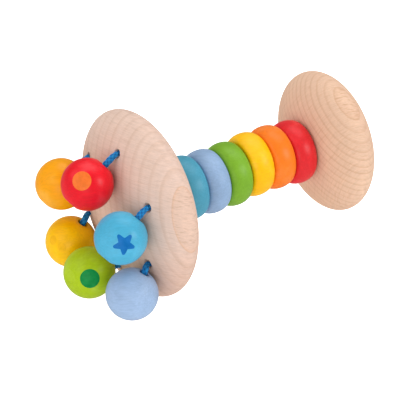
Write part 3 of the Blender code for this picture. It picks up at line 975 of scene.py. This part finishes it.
def braid_height(a, b):
    """(height, hand) of the upper strand at a braid coordinate."""
    i, j = math.floor(a), math.floor(b)
    across_a, across_b = a - i - 0.5, b - j - 0.5
    round_a = math.sqrt(max(0.0, 1 - (2 * across_a) ** 2 * 0.96))
    round_b = math.sqrt(max(0.0, 1 - (2 * across_b) ** 2 * 0.96))
    height_a = round_a + 0.45 * (-1) ** (i % 2) * math.sin(math.pi * b)
    height_b = round_b - 0.45 * (-1) ** (j % 2) * math.sin(math.pi * a)
    return (height_a, 0.0) if height_a > height_b else (height_b, 1.0)


def tube(name, path, mat, radius, around, step, relief, taper=lambda share: 1.0):
    """Braided tube along a smooth path (points in mm), closed at both ends. taper gives the
    radius factor at a share of the length."""
    length = [0.0]
    for p, q in zip(path, path[1:]):
        length.append(length[-1] + (q - p).length)
    total = length[-1]
    count = max(8, int(total / step))

    def at(s):
        s = min(max(s, 0.0), total)
        k = max(0, min(len(path) - 2, int(np.searchsorted(length, s)) - 1))
        leg = length[k + 1] - length[k]
        return path[k].lerp(path[k + 1], (s - length[k]) / leg if leg > 0 else 0.0)

    stations = [total * k / count for k in range(count + 1)]
    mids = [at(s) for s in stations]
    tangents = [(mids[min(k + 1, count)] - mids[max(k - 1, 0)]).normalized()
                for k in range(count + 1)]
    ref = Vector((0, 0, 1)) if abs(tangents[0].z) < 0.9 else Vector((0, 1, 0))
    normal = (ref - ref.dot(tangents[0]) * tangents[0]).normalized()
    verts, uvs, heights, families = [], [], [], []
    for k in range(count + 1):
        normal = (normal - normal.dot(tangents[k]) * tangents[k]).normalized()
        side = tangents[k].cross(normal)
        full = radius * taper(stations[k] / total)
        for m in range(around):
            turn = m / around
            a = CARRIERS * turn + CARRIERS * stations[k] / PITCH + BRAID_SHIFT
            b = CARRIERS * turn - CARRIERS * stations[k] / PITCH + BRAID_SHIFT
            height, family = braid_height(a, b)
            r = full - relief + relief * max(0.0, min(1.3, height)) * 0.8
            out = normal * math.cos(2 * math.pi * turn) + side * math.sin(2 * math.pi * turn)
            verts.append((mids[k] + out * r) * 0.001)
            uvs.append((a, b))
            heights.append(height)
            families.append(family)

    faces, on_seam = [], []
    for k in range(count):
        near, far = k * around, (k + 1) * around
        for m in range(around):
            n = (m + 1) % around
            faces.append((near + n, far + n, far + m, near + m))
            on_seam.append(n == 0)
    for k in (0, count):
        centre = len(verts)
        verts.append(mids[k] * 0.001)
        uvs.append(uvs[k * around])
        heights.append(0.3)
        families.append(0.0)
        for m in range(around):
            n = (m + 1) % around
            face = (centre, k * around + m, k * around + n)
            faces.append(face if k == 0 else face[::-1])
            on_seam.append(n == 0)

    mesh = bpy.data.meshes.new(name)
    mesh.from_pydata([tuple(v) for v in verts], [], faces)
    bm = bmesh.new()
    bm.from_mesh(mesh)
    bmesh.ops.recalc_face_normals(bm, faces=bm.faces)
    bm.to_mesh(mesh)
    bm.free()
    layer = mesh.uv_layers.new(name="braid")
    for poly in mesh.polygons:
        for li in poly.loop_indices:
            vi = mesh.loops[li].vertex_index
            a, b = uvs[vi]
            if on_seam[poly.index] and vi < (count + 1) * around and vi % around == 0:
                a, b = a + CARRIERS, b + CARRIERS
            layer.data[li].uv = (a, b)
    for key, values in (("cord_h", heights), ("cord_fam", families)):
        attribute = mesh.attributes.new(key, "FLOAT", "POINT")
        attribute.data.foreach_set("value", np.array(values, np.float32))
    return new_object(name, mesh, mat, smooth_angle=75)


def bezier(p0, p1, p2, p3):
    ts = [k / 24 for k in range(25)]
    return [(1 - t) ** 3 * p0 + 3 * t * (1 - t) ** 2 * p1 + 3 * t * t * (1 - t) * p2
            + t ** 3 * p3 for t in ts]


def mouth_turn(pivot, centre, bore):
    """From where a straight cord meets the bead's mouth, round the mouth's edge, to the bore."""
    steps = 14
    mouth = centre - BEAD_HALF * bore
    back = pivot - mouth
    side = (back - back.dot(bore) * bore).normalized()
    corner = mouth + BEAD_BORE_R * side
    turn = BEAD_BORE_R - 0.5
    px, py = (pivot - corner).dot(side), -(pivot - corner).dot(bore)
    angle = math.atan2(px, py) + math.asin(turn / math.hypot(px, py))
    return [corner - turn * (math.cos(angle * (1 - k / steps)) * side
                             + math.sin(angle * (1 - k / steps)) * bore)
            for k in range(steps + 1)]


def build_cord(colour, cord, mat):
    """The cord from just inside the hole, round its edge, and into the bead, built where it
    hangs at rest.
    """
    pivot = cord.pivot
    if cord.hang.dot(cord.bore) < 0.999:
        arc = mouth_turn(pivot, cord.centre, cord.bore)
    else:
        arc = [pivot + cord.hang * (cord.length - BEAD_HALF)]
    away = (arc[0] - pivot).normalized()
    bend_end = pivot + away * CORD_BEND_R
    path = [pivot + X * CORD_START]
    path += bezier(pivot + X * 0.85, pivot + X * 0.36, pivot + away * CORD_BEND_R * 0.42,
                   bend_end)
    path += [bend_end.lerp(arc[0], k / 6) for k in range(1, 6)] + arc
    path.append(arc[-1] + cord.bore * CORD_IN_BEAD)
    run = sum((b - a).length for a, b in zip(path, path[1:]))

    def pressed(share):
        """A little thinner where the cord bends over the hole's edge."""
        return 1 - 0.13 * math.exp(-((share * run - CORD_START + 0.1) / 1.25) ** 4)

    ob = tube("cord_" + colour, path, mat, radius=1.24, around=56, step=0.13, relief=0.34,
              taper=pressed)
    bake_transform(ob)
    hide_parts("cord_bend_" + colour, "cord_end_" + colour)


def build_knot(colour, cord, mat):
    """The fixed part: straight through the hole, then coiled up in the counterbore."""
    pivot = cord.pivot
    floor_x = cord.back.x - KNOT_BORE_DEPTH
    turns, coil_r, coil_length, steps = 1.75, 1.62, 2.15, 60
    path = [pivot + X * (CORD_START + 0.5), Vector((floor_x - 0.4, pivot.y, pivot.z))]
    for k in range(steps + 1):
        t = k / steps
        grow = min(1.0, t * 5)
        grow = grow * grow * (3 - 2 * grow)
        angle = 2 * math.pi * turns * t + 0.6
        path.append(Vector((floor_x + 0.75 + coil_length * t,
                            pivot.y + coil_r * grow * math.cos(angle),
                            pivot.z + coil_r * grow * math.sin(angle))))
    last = path[-1]
    onward = (last - path[-2]).normalized()
    tail = Vector((cord.back.x - 1.15, pivot.y - 0.3, pivot.z + 0.2))
    for k in range(1, 13):
        t = k / 12
        path.append((1 - t) ** 2 * last + 2 * t * (1 - t) * (last + onward * 1.5)
                    + t * t * tail)
    knot = tube("cord_knot_" + colour, path, mat, radius=0.98, around=40, step=0.17,
                relief=0.14)
    fit(knot, "body", "cord_blue", "cord_anchor_" + colour)


# ------------------------------------------------------------------ floor, world, lights
def build_floor():
    """Plane tilted about Y, falling towards +X by the angle between the two rims."""
    tilt = math.atan2(LARGE.radius - SMALL.radius, abs(LARGE.rim_x - SMALL.rim_x))
    clearance = 12.0        # below the large rim, so that the lowest bead hangs freely
    down = Vector((-math.sin(tilt), 0, -math.cos(tilt)))
    under = Vector((mm(LARGE.rim_x), 0, 0)) + down * mm(LARGE.radius + clearance)
    size, cells = 3.0, 60   # half width in metres, cells each way
    bm = bmesh.new()
    marks = [-size + 2 * size * i / cells for i in range(cells + 1)]
    grid = [[bm.verts.new((x, y, 0.0)) for y in marks] for x in marks]
    for i in range(cells):
        for j in range(cells):
            bm.faces.new((grid[i][j], grid[i + 1][j], grid[i + 1][j + 1], grid[i][j + 1]))
    floor = new_object("floor", mesh_of(bm, "floor"), floor_white())
    floor.matrix_world = Matrix.Translation(under) @ Matrix.Rotation(tilt, 4, 'Y')


def build_world():
    """White to the camera, softer as a light, and dim in reflections."""
    world = bpy.data.worlds.new("studio")
    bpy.context.scene.world = world
    world.use_nodes = True
    nodes, links = world.node_tree.nodes, world.node_tree.links
    ray = nodes.new("ShaderNodeLightPath").outputs

    def background(node, colour, strength):
        node.inputs[0].default_value = (*colour, 1)
        node.inputs[1].default_value = strength
        return node.outputs[0]

    def switch(test, otherwise, when):
        mixer = nodes.new("ShaderNodeMixShader")
        for i, source in enumerate((test, otherwise, when)):
            links.new(source, mixer.inputs[i])
        return mixer.outputs[0]

    warm_white = (1.0, 0.995, 0.985)
    white = background(nodes.new("ShaderNodeBackground"), (1, 1, 1), strength=1.1)
    ambient = background(nodes["Background"], warm_white, strength=0.53)
    dim = background(nodes.new("ShaderNodeBackground"), warm_white, strength=0.16)
    glossy = switch(ray["Is Glossy Ray"], ambient, dim)
    links.new(switch(ray["Is Camera Ray"], glossy, white), nodes["World Output"].inputs[0])


LIGHT_TARGET = Vector((-0.062, 0, 0))       # metres
LIGHT_DISTANCE = 0.9
# name, direction from the target (right, up, near), width and height in metres, watts,
# lights diffusely. The two narrow strips only show as soft highlights on the glaze.
SOFTBOXES = [
    ("box_left", (-0.80, 0.42, 0.55), 0.85, 0.9, 1.9, True),
    ("box_front", (-0.20, -0.30, 0.93), 0.50, 0.40, 1.7, True),
    ("box_right", (0.83, 0.14, 0.52), 0.30, 0.40, 2.3, True),
    ("box_top", (0.15, 0.95, 0.20), 0.8, 0.5, 3.8, True),
    ("strip_right", (0.80, 0.24, 0.55), 0.16, 0.26, 1.1, False),
    ("strip_left", (-0.66, 0.16, 0.73), 0.16, 0.22, 0.5, False),
]


def build_softbox(name, view, width, height, watts, diffuse):
    light = bpy.data.lights.new(name, 'AREA')
    light.shape = 'RECTANGLE'
    light.size = width
    light.size_y = height
    light.energy = watts
    ob = bpy.data.objects.new(name, light)
    direction = from_view(*view)
    turn = direction.to_track_quat('Z', 'Y').to_matrix().to_4x4()
    ob.matrix_world = Matrix.Translation(LIGHT_TARGET + direction * LIGHT_DISTANCE) @ turn
    bpy.context.scene.collection.objects.link(ob)
    ob.visible_diffuse = diffuse


# ------------------------------------------------------------------ build
wood_large = beech("beech_large", **WOOD_LARGE)
wood_small = beech("beech_small", **WOOD_SMALL)
wood_spindle = beech("beech_spindle", **WOOD_SPINDLE)
cords = build_large_disc(wood_large)
build_small_disc(wood_small)
build_spindle(wood_spindle)
for i, colour in enumerate(RING_COLOURS):
    build_ring(i, colour)
for i, (colour, cord) in enumerate(cords.items()):
    build_bead(i, colour, cord)
build_camera()
build_marks(cords)

# deep is the painted shade in the braid's hollows, light the painted highlight on its crowns
cord_mat = braid("cord_blue", base=(0.001, 0.165, 0.470), deep=(0.000, 0.012, 0.045),
                 light=(0.015, 0.400, 0.860), seed=2.0)
for colour, cord in cords.items():
    build_cord(colour, cord, cord_mat)
    build_knot(colour, cord, cord_mat)

build_floor()
build_world()
for row in SOFTBOXES:
    build_softbox(*row)

view = bpy.context.scene.view_settings
view.view_transform = 'Standard'
view.look = 'None'
view.exposure = 0.0
view.gamma = 1.0
